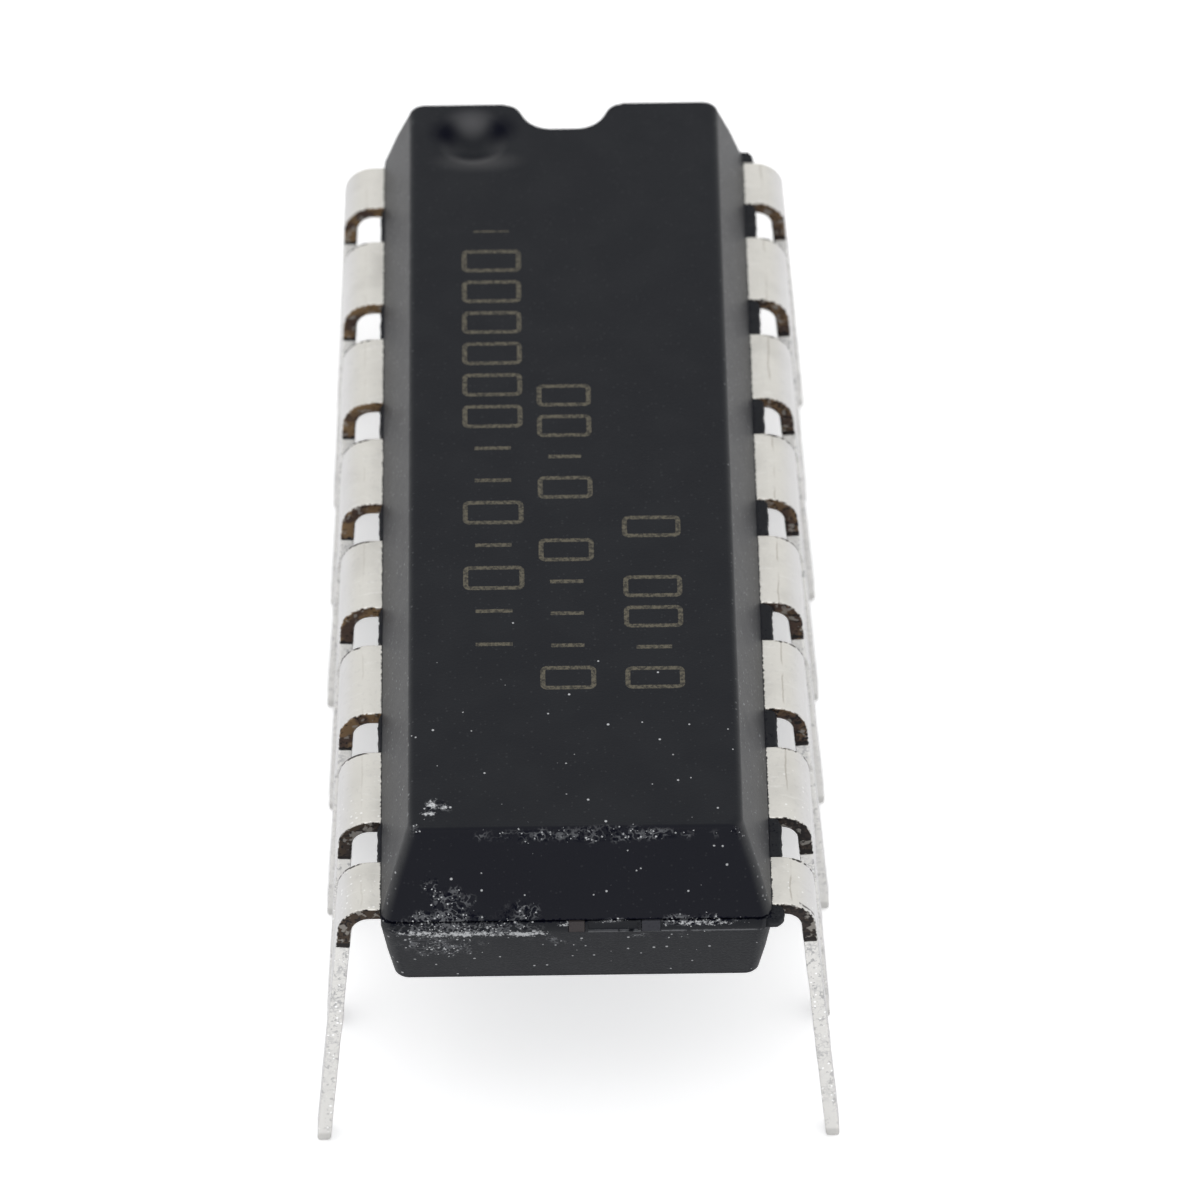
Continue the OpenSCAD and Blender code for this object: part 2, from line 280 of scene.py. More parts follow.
body = {
    "halfWidth": 3.26,
    "halfLength": 9.49,
    "upperHeight": 1.81,
    "lowerHeight": 1.65,
    "upperDraft": (0.48, 0.54),  # to the sides, to the ends
    "lowerDraft": (0.19, 0.36),
    "cornerRadius": 0.22,
    "edgeSteps": 6,
    "edgeDrop": 0.1,  # height of the rounding along the edges
    "edgeIn": (0.2, 0.075),  # and its width on the sides, on the ends
    "topShift": 0.05,  # how far the top lies towards the notched end
    "bandHalf": 0.125,  # half the height of the parting band
    # rings of the band and the groove over it: lower or upper edge, height from there, inset
    "bandRings": ((-1, -0.012, 0.006), (-1, 0.012, 0.0), (1, -0.012, 0.0), (1, 0.0, 0.008),
                  (1, 0.006, 0.035), (1, 0.022, 0.035), (1, 0.034, 0.012)),
    "notchFlat": 0.44,
    "notchRadius": 0.55,
    "notchSlant": 64,  # degrees between its sides and its flat
    "notchMouth": 0.3,
    "notchReach": 0.62,  # square to the sloping end, from where its edge is rounded
    "notchDepth": 1.4,
    "notchRim": 0.05,  # rounding along its rim
    "dimpleWidth": 1.3,
    "dimpleDepth": 0.24,
    "dimpleSpread": 1.08,  # how far it runs out past its width
    "dimpleLip": 0.004,
    "dimplePlace": (-1.63, 8.0),
    "ejectorWidth": 1.5,
    "ejectorDepth": 0.06,
    "ejectorPlace": 5.694,
    "ejectorFillet": (0.02, 0.05),
    "slot": (0.19, 1.025, 0.03),  # from, to, depth
    "tieBars": ((0.0, 0.26), (1.24, 0.31)),  # middle, width
    "tieBarPlay": 0.01,
    "tieBarDepth": 0.2,
    "farTieBar": 0.28,  # width of the opening for the one at the notched end
    "sharpFrom": 38,  # degrees between two faces that meet in a sharp edge
}

compound = {
    "colour": (0.0042, 0.0054, 0.0088),
    "cloud": (0.008, 0.0094, 0.0128),
    # painted sheen: the lighter colour of the sides above the band
    "side": (0.054, 0.055, 0.058),
    # near black: painted shade on the ends of the upper half, in the groove over the band and in the
    # dished mark, and dark pits
    "shadeAndPits": (0.0012, 0.0017, 0.007),
    "roughness": 0.44,
    "specular": 0.18,
    "dust": "cfd1d4",
    "wisp": "8b8d91",
    "scuff": "4c4d51",
    "marks": "7c7665",
    # place, reach, strength: where dust lies
    "dusty": (
        ((-1.7, -9.5, 0.0), (2.0, 0.3, 0.36), 1.0),
        ((-2.75, -9.45, 0.02), (0.8, 0.4, 0.34), 1.0),
        ((-2.3, -8.42, 1.81), (0.5, 0.4, 0.2), 0.8),
        ((-2.1, -9.45, 0.2), (1.3, 0.4, 0.42), 0.95),
        ((-2.1, -9.35, 0.5), (0.75, 0.5, 0.55), 0.95),
        ((-2.4, -9.3, 0.82), (0.36, 0.4, 0.36), 0.9),
        ((-0.95, -9.4, 0.28), (0.75, 0.5, 0.45), 0.95),
        ((1.9, -9.5, 0.12), (1.6, 0.3, 0.26), 0.95),
        ((0.5, -9.5, 0.13), (0.8, 0.3, 0.16), 0.7),
        ((2.0, -9.5, -0.16), (1.6, 0.3, 0.08), 0.6),
        ((0.2, -8.98, 1.66), (4.2, 0.26, 0.32), 0.9),
        ((0.4, -8.97, 1.7), (2.4, 0.26, 0.3), 0.95),
        ((2.7, -8.98, 1.7), (0.4, 0.3, 0.4), 0.8),
        ((-2.69, -8.95, 1.75), (0.3, 0.3, 0.3), 0.85),
        ((-2.3, -9.4, -0.55), (1.5, 0.4, 0.8), 0.82),
        ((-0.3, -9.4, -0.4), (1.6, 0.4, 0.4), 0.55),
        ((1.4, -9.4, -0.3), (1.6, 0.4, 0.3), 0.62),
    ),
    # worn spots, place, reach and strength as above
    "worn": (
        ((-2.38, -8.36, 1.81), (0.17, 0.22, 0.2), 0.82),
        ((-2.2, -8.42, 1.81), (0.2, 0.12, 0.2), 0.78),
        ((-2.44, -8.57, 1.81), (0.26, 0.1, 0.2), 0.8),
        ((-2.6, -9.5, -0.12), (0.7, 0.3, 0.14), 0.95),
        ((-1.9, -9.5, -0.16), (1.6, 0.3, 0.19), 1.0),
        ((-0.9, -9.5, -0.18), (0.9, 0.3, 0.17), 1.05),
        ((-0.15, -9.5, 0.06), (0.4, 0.3, 0.12), 0.95),
        ((2.1, -9.5, 0.06), (1.2, 0.3, 0.12), 0.85),
        ((0.6, -9.5, 0.1), (0.6, 0.3, 0.09), 0.8),
    ),
    # painted reflections in the dished mark, of what it mirrors: place, reach, brightness
    "dimpleLights": (
        ((-1.66, 8.55, 1.65), (0.6, 0.4, 0.5), 0.085),
        ((-1.55, 7.43, 1.8), (1.0, 0.36, 0.3), 0.05),
    ),
    # painted shade in the dished mark: place, reach
    "dimpleShade": (((-2.15, 8.2, 1.7), (0.42, 0.55, 0.4)), ((-1.1, 8.3, 1.7), (0.42, 0.55, 0.4))),
    # rows of etched marks: middle, half width, from, to, distance of one mark to the next
    "rows": (
        (1.38, 0.5, -5.85, -1.6, 0.72),
        (-0.08, 0.47, -5.85, 1.75, 0.76),
        (-1.32, 0.52, -5.85, 5.6, 0.79),
    ),
    "stroke": 0.042,  # half the width of a mark's lines
    "corner": 0.12,
    "markHalf": 0.36,  # half the length of a mark, as a share of that distance
    "blanks": 0.12,  # the share of places left blank
    "bars": 0.42,  # the share of blanks and bars together
    "rowSeed": 31.7,
    # specks thin out from the plain end: from where, over which length, at most
    "specks": (-3.0, 7.0, 0.11),
    "gap": (0.02, 0.026),  # height of the painted shade line over the band, half its width
    "seam": 0.06,  # how deep the light line under the band reaches in from the plain end
    "lowerTone": 0.34,  # how much darker the lower half mirrors
}


def dots(where, scale, share):
    # round dots of several sizes, one in a share of the cells
    cells = where.add("TexVoronoi", values={"Vector": where, "Scale": scale}, out="Distance")
    chance = cells.add("SeparateColor", values={0: cells.other("Color")})
    size = chance.other("Green")
    return (size * 0.28 + 0.1 - cells).ramp(0.0, 0.12) * chance.below(share)


def wisps(where, scale, width):
    # thin curling lines
    field = grain(where, scale, 1.5, 0.6)
    return (field - 0.5).size().ramp(width, width * 0.3)


def etched(where):
    # generic frames, bars and blanks in rows, in fine dots
    x, y = along(where, "X"), along(where, "Y")
    thin, corner = compound["stroke"], compound["corner"]
    total = None
    for seed, (middle, half, low, high, step) in enumerate(compound["rows"]):
        cell = (y - low) / step
        index = cell.whole() + compound["rowSeed"] * seed
        chance = where.add("TexWhiteNoise", {"noise_dimensions": "1D"}, {"W": index}, out="Value")
        up = ((cell.fraction() - 0.5) * step).size()
        out = (x - middle).size()
        # distance to a frame with rounded corners
        pastX, pastY = out - half + corner, up - compound["markHalf"] * step + corner
        square = pastX.atLeast(0.0) ** 2 + pastY.atLeast(0.0) ** 2
        edge = square.root() + pastX.atLeast(pastY).atMost(0.0) - corner
        outline = (edge + thin).size().below(thin)
        bar = up.below(thin) * out.below(half * 0.6)
        mark = outline * chance.above(compound["bars"])
        mark = mark + bar * chance.above(compound["blanks"]) * chance.below(compound["bars"])
        mark = mark * y.above(low) * y.below(high)
        total = mark if total is None else total.atLeast(mark)
    rough = grain(where, 16, 2, 0.7)
    return total.atMost(1.0) * (rough.ramp(0.38, 0.6) * 0.65 + 0.25)


def makeCompound():
    material, start, where = startMaterial("mouldingCompound")
    fine = grain(where, 24, 2, 0.65)
    cloud = grain(where, 1.1, 2)
    streak = grain(where, 3.2, 3, 0.6, stretch=(1.6, 1, 0.35))
    normal = start.add("NewGeometry", out="Normal")
    upright = along(normal, "Z")
    sideways, endways = along(normal, "X").size(), along(normal, "Y").size()
    x, y, z = (along(where, axis) for axis in "XYZ")
    band, top = body["bandHalf"], body["upperHeight"]

    base = colour(start, compound["colour"])
    base = base.mix(cloud.ramp(0.35, 0.7) * 0.6, compound["cloud"])
    # painted shade: the ends of the upper half are painted darker
    base = base.mix(endways.ramp(0.5, 0.9) * z.above(band) * 0.75, compound["shadeAndPits"])
    # the lower half is streaked, and the sides above the band are painted lighter, a painted sheen
    base = base.mix(z.below(-band) * streak.ramp(0.45, 0.8) * 0.05, rgb(compound["scuff"]))
    sideSheen = sideways.ramp(0.2, 0.93) * z.above(band)
    base = base.mix(sideSheen * (0.8 + (fine - 0.5) * 0.7 + (streak - 0.5) * 0.9), compound["side"])
    sparkle = dots(where, 14, 0.35) * 0.35
    base = base.mix(sparkle * (sideSheen * 0.8 + 0.05), rgb(compound["dust"]))
    # painted shade: a dark line in the groove where the upper half meets the parting band
    gapRise, gapHalf = compound["gap"]
    gap = (z + (fine - 0.5) * 0.09 - band - gapRise).size().below(gapHalf)
    gap = gap * (streak + 0.15).ramp(0.4, 0.6)
    base = base.mix(gap * (1 - upright.above(0.9)), compound["shadeAndPits"])
    # and a thin light one under the band at the plain end: wear, with a painted highlight on that edge
    seam = (z + band + (fine - 0.5) * 0.03).size().ramp(0.028, 0.01) * x.above(body["slot"][0])
    seam = seam * (-y).above(body["halfLength"] - compound["seam"]) * streak.ramp(0.36, 0.5)
    base = base.mix(seam * 0.45, rgb(compound["wisp"]))
    # the dished mark, with its painted reflections
    for place, reach, bright in compound["dimpleLights"]:
        base = base.mix(near(where, place, reach) * 0.9, (bright, bright, bright * 1.06))
    flatTop = upright.above(0.98) * z.above(top - 0.01)
    base = base.mix(flatTop * etched(where) * 0.62, rgb(compound["marks"]))

    # dust: specks over the near end, thick in the places listed
    speckFrom, speckRun, speckMost = compound["specks"]
    level = strongest(where, compound["dusty"], (speckFrom - y).ramp(0.0, speckRun) * speckMost)
    patchy = grain(where, 4.5, 3, 0.7)
    thick = (level * 0.8 + (patchy - 0.5) * 2.2).ramp(0.3, 0.75) * level.ramp(0.25, 0.5)
    specks = dots(where, 14, level * 0.3) * 0.8
    grit = dots(where, 19, thick * 0.75)
    web = wisps(where, 9, 0.075) * thick
    clump = grain(where, 14, 3, 0.8)
    worn = strongest(where, compound["worn"])
    worn = (clump + worn * 0.34).ramp(0.71, 0.83) * worn.ramp(0.05, 0.3)
    dust = specks.atLeast(grit).atLeast(worn * 0.9)
    # dark pits between the dust, and painted shade in the groove and in the dished mark
    darkPitsAndShade = (gap * 0.8).atLeast(level.ramp(0.4, 0.7) * (1 - clump.ramp(0.42, 0.5)) * 0.75)
    for place, reach in compound["dimpleShade"]:
        darkPitsAndShade = darkPitsAndShade.atLeast(near(where, place, reach))
    base = base.mix(darkPitsAndShade, compound["shadeAndPits"])
    base = base.mix(web * 0.42, rgb(compound["wisp"]))
    base = base.mix(dust, rgb(compound["dust"]))

    rough = compound["roughness"] + (fine - 0.5) * 0.25 + dust * 0.4
    height = fine * 0.6 + cloud * 0.6
    bump = start.add("Bump", values={"Strength": 0.6, "Distance": 0.000012, "Height": height})
    shader = start.add("BsdfPrincipled", values={
        "Base Color": base, "Roughness": rough, "Normal": bump,
        # a black metal mirrors next to nothing, which keeps pits and painted shade dark
        "Metallic": darkPitsAndShade.atLeast(z.below(-band) * compound["lowerTone"]) * (1 - dust),
        "Specular IOR Level": compound["specular"]})
    finishMaterial(start, shader)
    return material


def makeShell():
    half = (body["halfWidth"], body["halfLength"])
    band, radius, drop = body["bandHalf"], body["cornerRadius"], body["edgeDrop"]

    def ring(z, inset, corner=radius):
        shift = body["topShift"] * max(0, z - band) / (body["upperHeight"] - band)
        made = roundedRing(half[0] - inset[0], half[1] - inset[1], corner, z)
        return [(px, py + shift, pz) for px, py, pz in made]

    def drafted(height, draft, up):
        # from the band to the flat face, with the edge between them rounded
        rings, steps = [], body["edgeSteps"]
        for share in (0.0, 0.5):
            rings.append((up * (band + share * (height - band)), [d * share for d in draft], radius))
        for step in range(steps + 1):
            turn = math.radians(90 * step / steps)
            inward = [width * (1 - math.cos(turn)) for width in body["edgeIn"]]
            rings.append((up * (height - drop * (1 - math.sin(turn))),
                          [d + i for d, i in zip(draft, inward)], radius - inward[1]))
        return rings

    lower = drafted(body["lowerHeight"], body["lowerDraft"], -1)[::-1]
    upper = drafted(body["upperHeight"], body["upperDraft"], 1)
    rings = [ring(*r) for r in lower[:-1]]
    rings += [ring(edge * band + rise, (inset, inset)) for edge, rise, inset in body["bandRings"]]
    rings += [ring(*r) for r in upper[1:]]
    shape = bmesh.new()
    loft(shape, rings)
    return shape


def notchCutter():
    flat, radius, mouth = body["notchFlat"] / 2, body["notchRadius"], body["notchMouth"]
    slant, rim = math.radians(body["notchSlant"]), body["notchRim"]
    backSteps, mouthSteps, pastEnd = 10, 8, 1.5
    half = []
    for step in range(backSteps + 1):
        turn = slant * step / backSteps
        half.append((flat + radius * math.sin(turn), radius * (1 - math.cos(turn)) - body["notchReach"]))
    rise = -mouth * (1 - math.cos(slant)) - half[-1][1]
    side = half[-1][0] + rise / math.tan(slant)
    for step in range(mouthSteps + 1):
        turn = slant * (1 - step / mouthSteps)
        half.append((side + mouth * (math.sin(slant) - math.sin(turn)), -mouth * (1 - math.cos(turn))))
    half.append((half[-1][0], pastEnd))
    outline = [(-x, y) for x, y in half[::-1]] + half
    count = len(outline)

    def offset(distance):
        moved = []
        for i, point in enumerate(outline):
            before, after = Vector(outline[i - 1]), Vector(outline[(i + 1) % count])
            run = (after - before).normalized()
            moved.append(Vector(point) + distance * Vector((run.y, -run.x)))
        return moved

    # its walls lean with the end of the body
    top, bottom = body["upperHeight"], body["upperHeight"] - body["notchDepth"]
    lean = math.atan((body["upperDraft"][1] - body["topShift"]) / (top - body["bandHalf"]))
    endOfTop = body["halfLength"] - body["upperDraft"][1] + body["topShift"] - rim
    # heights, and how far the outline is widened there: a fillet below, the rim's rounding above
    heights = [(bottom, -0.05), (bottom + 0.015, -0.015), (bottom + 0.05, 0)]
    for step in range(5):
        turn = math.radians(75 * step / 4)
        heights.append((top - rim * (1 - math.sin(turn)), rim * (1 - math.cos(turn))))
    heights.append((top + 0.3, 2 * rim))
    rings = []
    for z, distance in heights:
        rings.append([(p.x, endOfTop + p.y / math.cos(lean) + (top - z) * math.tan(lean), z)
                      for p in offset(distance)])
    shape = bmesh.new()
    loft(shape, rings)
    return shape


def spun(profile, place, steps=64):
    # a round cutter from its profile of radius and height, the first point on the axis
    rings = [[(place[0] + r * math.cos(2 * math.pi * i / steps),
               place[1] + r * math.sin(2 * math.pi * i / steps), z) for i in range(steps)]
             for r, z in profile]
    shape = bmesh.new()
    loft(shape, rings)
    return shape


def dimpleCutter():
    # a bowl that runs out softly into the top
    half, depth, top = body["dimpleWidth"] / 2, body["dimpleDepth"], body["upperHeight"]
    profile, steps = [], 16
    for step in range(1, steps + 1):
        share = (step / steps) ** 2
        profile.append((body["dimpleSpread"] * half * step / steps,
                        top - depth * (1 - share) ** 2 + body["dimpleLip"] * share))
    profile.append((half + 0.3, top + 0.2))
    return spun(profile, body["dimplePlace"])


def ejectorCutter(side):
    half, base = body["ejectorWidth"] / 2, -body["lowerHeight"]
    deep, (low, wide) = base + body["ejectorDepth"], body["ejectorFillet"]
    profile = [(half + 0.1, base - 0.1), (half, base), (half - low, deep - low), (half - wide, deep)]
    return spun(profile, (0, side * body["ejectorPlace"]))


def boxCutter(low, high):
    shape = bmesh.new()
    bmesh.ops.create_cube(shape, size=1)
    for vert in shape.verts:
        for axis in range(3):
            vert.co[axis] = low[axis] if vert.co[axis] < 0 else high[axis]
    return shape


def makeBody(material):
    end, band, past = body["halfLength"], body["bandHalf"], 1
    slotFrom, slotTo, slotDepth = body["slot"]
    play, deep, farHalf = body["tieBarPlay"], body["tieBarDepth"], body["farTieBar"] / 2
    cutters = [notchCutter(), dimpleCutter(), ejectorCutter(1), ejectorCutter(-1)]
    cutters.append(boxCutter((slotFrom, -end - past, -band), (slotTo, -end + slotDepth, band)))
    for middle, width in body["tieBars"]:
        cutters.append(boxCutter((middle - width / 2 - play, -end - past, -band - play),
                                 (middle + width / 2 + play, -end + deep, band + play)))
    cutters.append(boxCutter((-farHalf, end - deep, -band - play), (farHalf, end + past, band + play)))
    shape = carve(makeShell(), cutters)
    piece = addPiece("mouldedBody", shape, material, ["package_body"])
    piece.data.shade_smooth()
    piece.data.set_sharp_from_angle(angle=math.radians(body["sharpFrom"]))
    weighted = piece.modifiers.new("evenShading", "WEIGHTED_NORMAL")
    weighted.keep_sharp = True
    return piece


flash = {
    "right": 0.21,
    "left": 0.07,
    "height": 0.115,  # half of it
    "inside": 0.1,  # how far it starts inside the body
    "overlap": 0.01,  # and runs under the leads' sheared sides
    "shortOfEnd": 0.03,
    "step": 0.04,  # between rings
    "corner": 0.1,  # length of the rounding at its ends
    "cornerLoss": 0.3,
    "rough": 0.03,
    "waves": ((2.2, 0.7), (6, 0.5)),  # how fine each part of the roughness is, and its weight
    "soften": 0.02,  # taken off the outer edges
    "inset": 0.012,
    "taper": 0.12,
}


def flashBlock(shape, xFrom, xTo, yFrom, yTo, seed):
    # a slab with worn edges and a rough outer side
    steps = max(6, int((yTo - yFrom) / flash["step"]))
    high = flash["height"]
    section = [(0, -high + 2 * high * i / 4) for i in range(5)]
    section += [(i / 6, high) for i in range(1, 7)]
    section += [(1, high - 2 * high * i / 4) for i in range(1, 5)]
    section += [(1 - i / 6, -high) for i in range(1, 6)]
    rings = []
    for k in range(steps + 1):
        y = yFrom + (yTo - yFrom) * k / steps
        toEnd = min(y - yFrom, yTo - y) / flash["corner"]
        reach = 1 - flash["cornerLoss"] * max(0, 1 - toEnd) ** 2
        ring = []
        for across, z in section:
            x = xFrom + (xTo - xFrom) * across * reach
            ragged = rippled(Vector((x * 3, y * 3, z * 3 + seed)), flash["waves"])
            push = across ** 2 * flash["rough"] * ragged
            soft = flash["soften"] if across > 0.95 and abs(z) > 0.9 * high else 0
            ring.append((x + math.copysign(1, xTo) * (push - soft - flash["inset"] * across),
                         y, z * (1 - flash["taper"] * across) + 0.3 * push))
        rings.append(ring)
    loft(shape, rings)


def makeFlash(material):
    # resin between the shoulders of both rows, and past the last shoulders on the right
    shape = bmesh.new()
    edge, pitch, overlap = body["halfWidth"], lead["pitch"], flash["overlap"]
    gapFrom = lead["shoulderHalf"] + lead["stubOut"]
    gapTo = pitch - lead["shoulderHalf"] - lead["stubOut"]
    lastY = (lead["perSide"] - 1) / 2 * pitch
    for gap in range(lead["perSide"] - 1):
        y = gap * pitch - lastY
        for side, reach in ((1, flash["right"]), (-1, flash["left"])):
            flashBlock(shape, side * (edge - flash["inside"]), side * (edge + reach),
                       y + gapFrom - overlap, y + gapTo + overlap, 10 * gap + side)
    for side in (-1, 1):
        ends = sorted((side * (lastY + lead["legHalf"] + lead["stubOut"] - overlap),
                       side * (body["halfLength"] - flash["shortOfEnd"])))
        flashBlock(shape, edge - flash["inside"], edge + flash["right"], *ends, 90 + side)
    bmesh.ops.recalc_face_normals(shape, faces=shape.faces)
    piece = addPiece("resinFlash", shape, material, ["package_body"])
    piece.data.shade_smooth()


lead = {
    "pitch": 2.54,
    "perSide": 8,
    "thickness": 0.25,
    "shoulderHalf": 0.785,
    "legHalf": 0.23,
    "straight": 0.19,
    "bendRadius": 0.3,
    # degrees out from upright, from lead 1 to 16: each is bent a little differently
    "lean": (3.1, 3.6, 3.9, 4.4, 3.8, 3.9, 3.7, 5.3, 5.3, 4.5, 5.3, 5.3, 5.1, 5.3, 4.5, 4.7),
    "sway": {8: -0.14, 9: -0.19},  # how far the tips of bent leads lie along the row
    "swayFrom": 0.8,  # depth where that starts
    "wideDepth": 1.35,
    "seatDepth": 2.05,
    "stubOut": 0.04,
    "stubDepth": 0.8,
    "tipBevel": 0.08,
    "edgeRound": 0.03,
    "tipThin": 0.012,  # how much thinner each of the last rings is
    "relief": 0.005,  # the drawn surface lies this much under the sheet's own
    "lumps": ((1.7, 0.005), (7, 0.003)),  # how fine they are, and their height
    "wavy": (0.5, 5, 1.6, 0.016),  # from and to which depth, how fine, height
    "ragged": 0.016,  # roughness of the sheared sides
    "raggedWaves": ((5, 0.6), (13, 0.5)),
    "sharpFrom": 50,  # degrees
    "inside": 0.1,  # how far the drawn part starts inside the body
    "step": 0.045,  # between rings
}

tin = {
    "colour": "d6d4ce",
    "dull": "b0aeaa",
    "bright": "eae9e6",
    "leg": "e6e5e3",
    "outer": "d4d3d3",
    "fleck": "9c9c9e",
    "curl": "aeaeb0",
    "burrAndShade": "3a3634",
    "sheared": "242121",
    "creaseShade": "8d8376",
    "roughness": 0.4,
    "bare": "4c3a31",
    "bareLight": "8c7150",
    "bareDark": "191414",
    "smear": "a29e98",
    "resin": "101113",
    "creaseAt": 3.59,  # distance of the crease from the middle line
    "tip": "8f8e8c",
    "tipFrom": 5.35,  # depth where the painted shade on the tip starts
    "grainyFrom": 0.75,  # depth where the grainy solder starts
    "grainyEases": 2.9,  # depth where it has eased
    "grainyTo": 5.5,
    "glintsFrom": -5.4,  # glints are sprinkled from here to the plain end
    "bendFrom": 3.5,  # distance of the bends from the middle line
    "burrAt": 0.8,  # distance of the burr from a lead's middle
    "burrFrom": (3.45, 3.6),  # where it starts past the shoulder
    "burrTo": 0.6,  # depth where it ends
    "lineAt": 0.19,  # distance of the dark line on the last leg from its middle
    "lineFrom": -8.0,  # it is on the leads from here to the plain end
    "lineTo": 3.2,  # depth where it ends
    "shearEnd": 0.74,  # depth of the lower end of the sheared side
    "blackFrom": -5.2,  # sheared sides are blacker from here to the plain end
}


def makeTin():
    material, start, where = startMaterial("dullTin")
    cloud = grain(where, 1.3, 2)
    fine = grain(where, 15, 2, 0.6)
    drawn = grain(where, 2.2, 3, 0.6, stretch=(1, 4, 0.6))
    across, y, z = along(where, "X"), along(where, "Y"), along(where, "Z")
    x = across.size()
    normal = start.add("NewGeometry", out="Normal")
    outward, endways = along(normal, "X").size(), along(normal, "Y").size()
    base = colour(start, rgb(tin["colour"]))
    base = base.mix(cloud.ramp(0.45, 0.75) * 0.3, rgb(tin["dull"]))
    base = base.mix(drawn.ramp(0.55, 0.8) * 0.5, rgb(tin["bright"]))
    # grainy solder below the shoulders, grey flecks in it
    grainy = (-tin["grainyFrom"] - z).ramp(0.0, 0.2)
    grainy = grainy * (0.7 + (z + tin["grainyEases"]).ramp(0.0, 0.9) * 0.3)
    grainy = grainy * (z + tin["grainyTo"]).ramp(0.0, 0.5)
    # painted light: the narrow sides of the legs below the stubs are painted lighter
    base = base.mix(endways.ramp(0.6, 0.9) * z.below(-lead["stubDepth"]) * 0.75, rgb(tin["leg"]))
    # painted shade: faces turned outwards are painted greyer
    base = base.mix(outward.ramp(0.35, 0.95) * 0.9, rgb(tin["outer"]))
    fleck = grain(where, 10, 2, 0.65).ramp(0.57, 0.66) * (0.1 + grainy * 0.6)
    base = base.mix(fleck, rgb(tin["fleck"]))
    curls = wisps(where, 8, 0.07) * drawn.ramp(0.4, 0.6)
    base = base.mix(curls * grainy * 0.6, rgb(tin["curl"]))
    # more glints near the plain end, on the left and on the right row's bends
    sprinkled = (tin["glintsFrom"] - y).ramp(0.0, 1.5)
    sprinkled = sprinkled * across.below(0.0).atLeast(x.above(tin["bendFrom"])) * 0.4
    glint = dots(where, 13, 0.4) * (0.08 + grainy * 0.8 + sprinkled)
    base = base.mix(glint, (1, 1, 1))
    # the last of each tip is painted darker grey, a painted shade of its slanted facet
    base = base.mix((-tin["tipFrom"] - z).ramp(0.0, 0.1) * 0.35, rgb(tin["tip"]))
    # painted shade: a faint dark line along the crease where the sheet was bent, clearest on the right
    wander = grain(where, 1.4, 2)
    offCrease = (x - tin["creaseAt"] + (wander - 0.5) * 0.12 + (fine - 0.5) * 0.02).size()
    creaseShade = offCrease.ramp(0.02, 0.006) * wander.ramp(0.42, 0.56) * (0.25 + 0.5 * across.above(0.0))
    creaseShade = creaseShade * z.above(-0.1) * (1 - endways.ramp(0.3, 0.6))
    base = base.mix(creaseShade * 0.55, rgb(tin["creaseShade"]))

    # a dark burr along the edge towards the notched end, past the bend, with painted shade where that
    # edge turns away
    inLead = ((y / lead["pitch"]).fraction() - 0.5) * lead["pitch"]
    offBurr = (inLead - tin["burrAt"] + (fine - 0.5) * 0.07).size()
    burrAndShade = offBurr.ramp(0.035, 0.015) * (x + (wander - 0.5) * 0.6).ramp(*tin["burrFrom"])
    burrAndShade = burrAndShade * z.above(-tin["burrTo"])
    base = base.mix(burrAndShade * fine.ramp(0.38, 0.5), rgb(tin["burrAndShade"]))
    # and a wavering dark line down the corner of the last leg on the right
    offLine = (inLead + tin["lineAt"] + (wander - 0.5) * 0.3).size()
    line = offLine.ramp(0.035, 0.015) * (tin["lineFrom"] - y).above(0.0)
    line = line * across.above(0.0) * z.above(-tin["lineTo"])
    base = base.mix(line * outward.above(0.5) * fine.ramp(0.4, 0.52) * 0.8, rgb(tin["burrAndShade"]))

    bare = start.add("Attribute", {"attribute_name": "bare"}, out="Fac")
    bareMask = (bare + (fine - 0.5) * 0.9).ramp(0.42, 0.58)
    patch = grain(where, 2.6, 2)
    # browner on the left row, nearly black on the right and towards the plain end
    dark = 0.1 + 0.4 * across.above(0.0) + (-2.0 - y).ramp(0.0, 6.0) * 0.35
    brown = colour(start, rgb(tin["bare"]))
    brown = brown.mix(patch.ramp(0.4, 0.56) * (1 - dark), rgb(tin["bareLight"]))
    brown = brown.mix((tin["blackFrom"] - y).ramp(0.0, 2.0) * 0.75, rgb(tin["sheared"]))
    brown = brown.mix((fine + dark * 0.2 - 0.05).ramp(0.54, 0.68), rgb(tin["bareDark"]))
    smear = (grain(where, 8, 2) + (-6.0 - y).ramp(0.0, 2.0) * 0.05).ramp(0.58, 0.66) * 0.7
    brown = brown.mix(smear, rgb(tin["smear"]))
    # the shear left a black burr at the lower end
    burrBelow = (z + tin["shearEnd"] + (fine - 0.5) * 0.2).size().below(0.05)
    brown = brown.mix(burrBelow, rgb(tin["bareDark"]))
    base = base.mix(bareMask, brown)
    # a thin ragged edge of resin where the lead leaves the body
    teeth = grain(where, 22, 2, 0.7)
    bleed = (body["halfWidth"] + 0.014 - x + (teeth - 0.5) * 0.08).ramp(0.0, 0.012)
    base = base.mix(bleed, rgb(tin["resin"]))

    rough = tin["roughness"] + (cloud - 0.5) * 0.25 + bareMask * 0.25 + grainy * (fine - 0.5) * 0.5
    height = fine * (0.5 + grainy * 1.2) + drawn * 0.5
    bump = start.add("Bump", values={"Strength": 0.5, "Distance": 0.00002, "Height": height})
    metal = (1 - bareMask * 0.5) * (1 - bleed)
    shader = start.add("BsdfPrincipled", values={
        "Base Color": base, "Roughness": rough, "Normal": bump, "Metallic": metal})
    finishMaterial(start, shader)
    return material


def rowY(pin):
    # a lead's place in its row, counted from the notched end, and its middle along the row
    place = pin - 1 if pin <= lead["perSide"] else 2 * lead["perSide"] - pin
    return place, ((lead["perSide"] - 1) / 2 - place) * lead["pitch"]


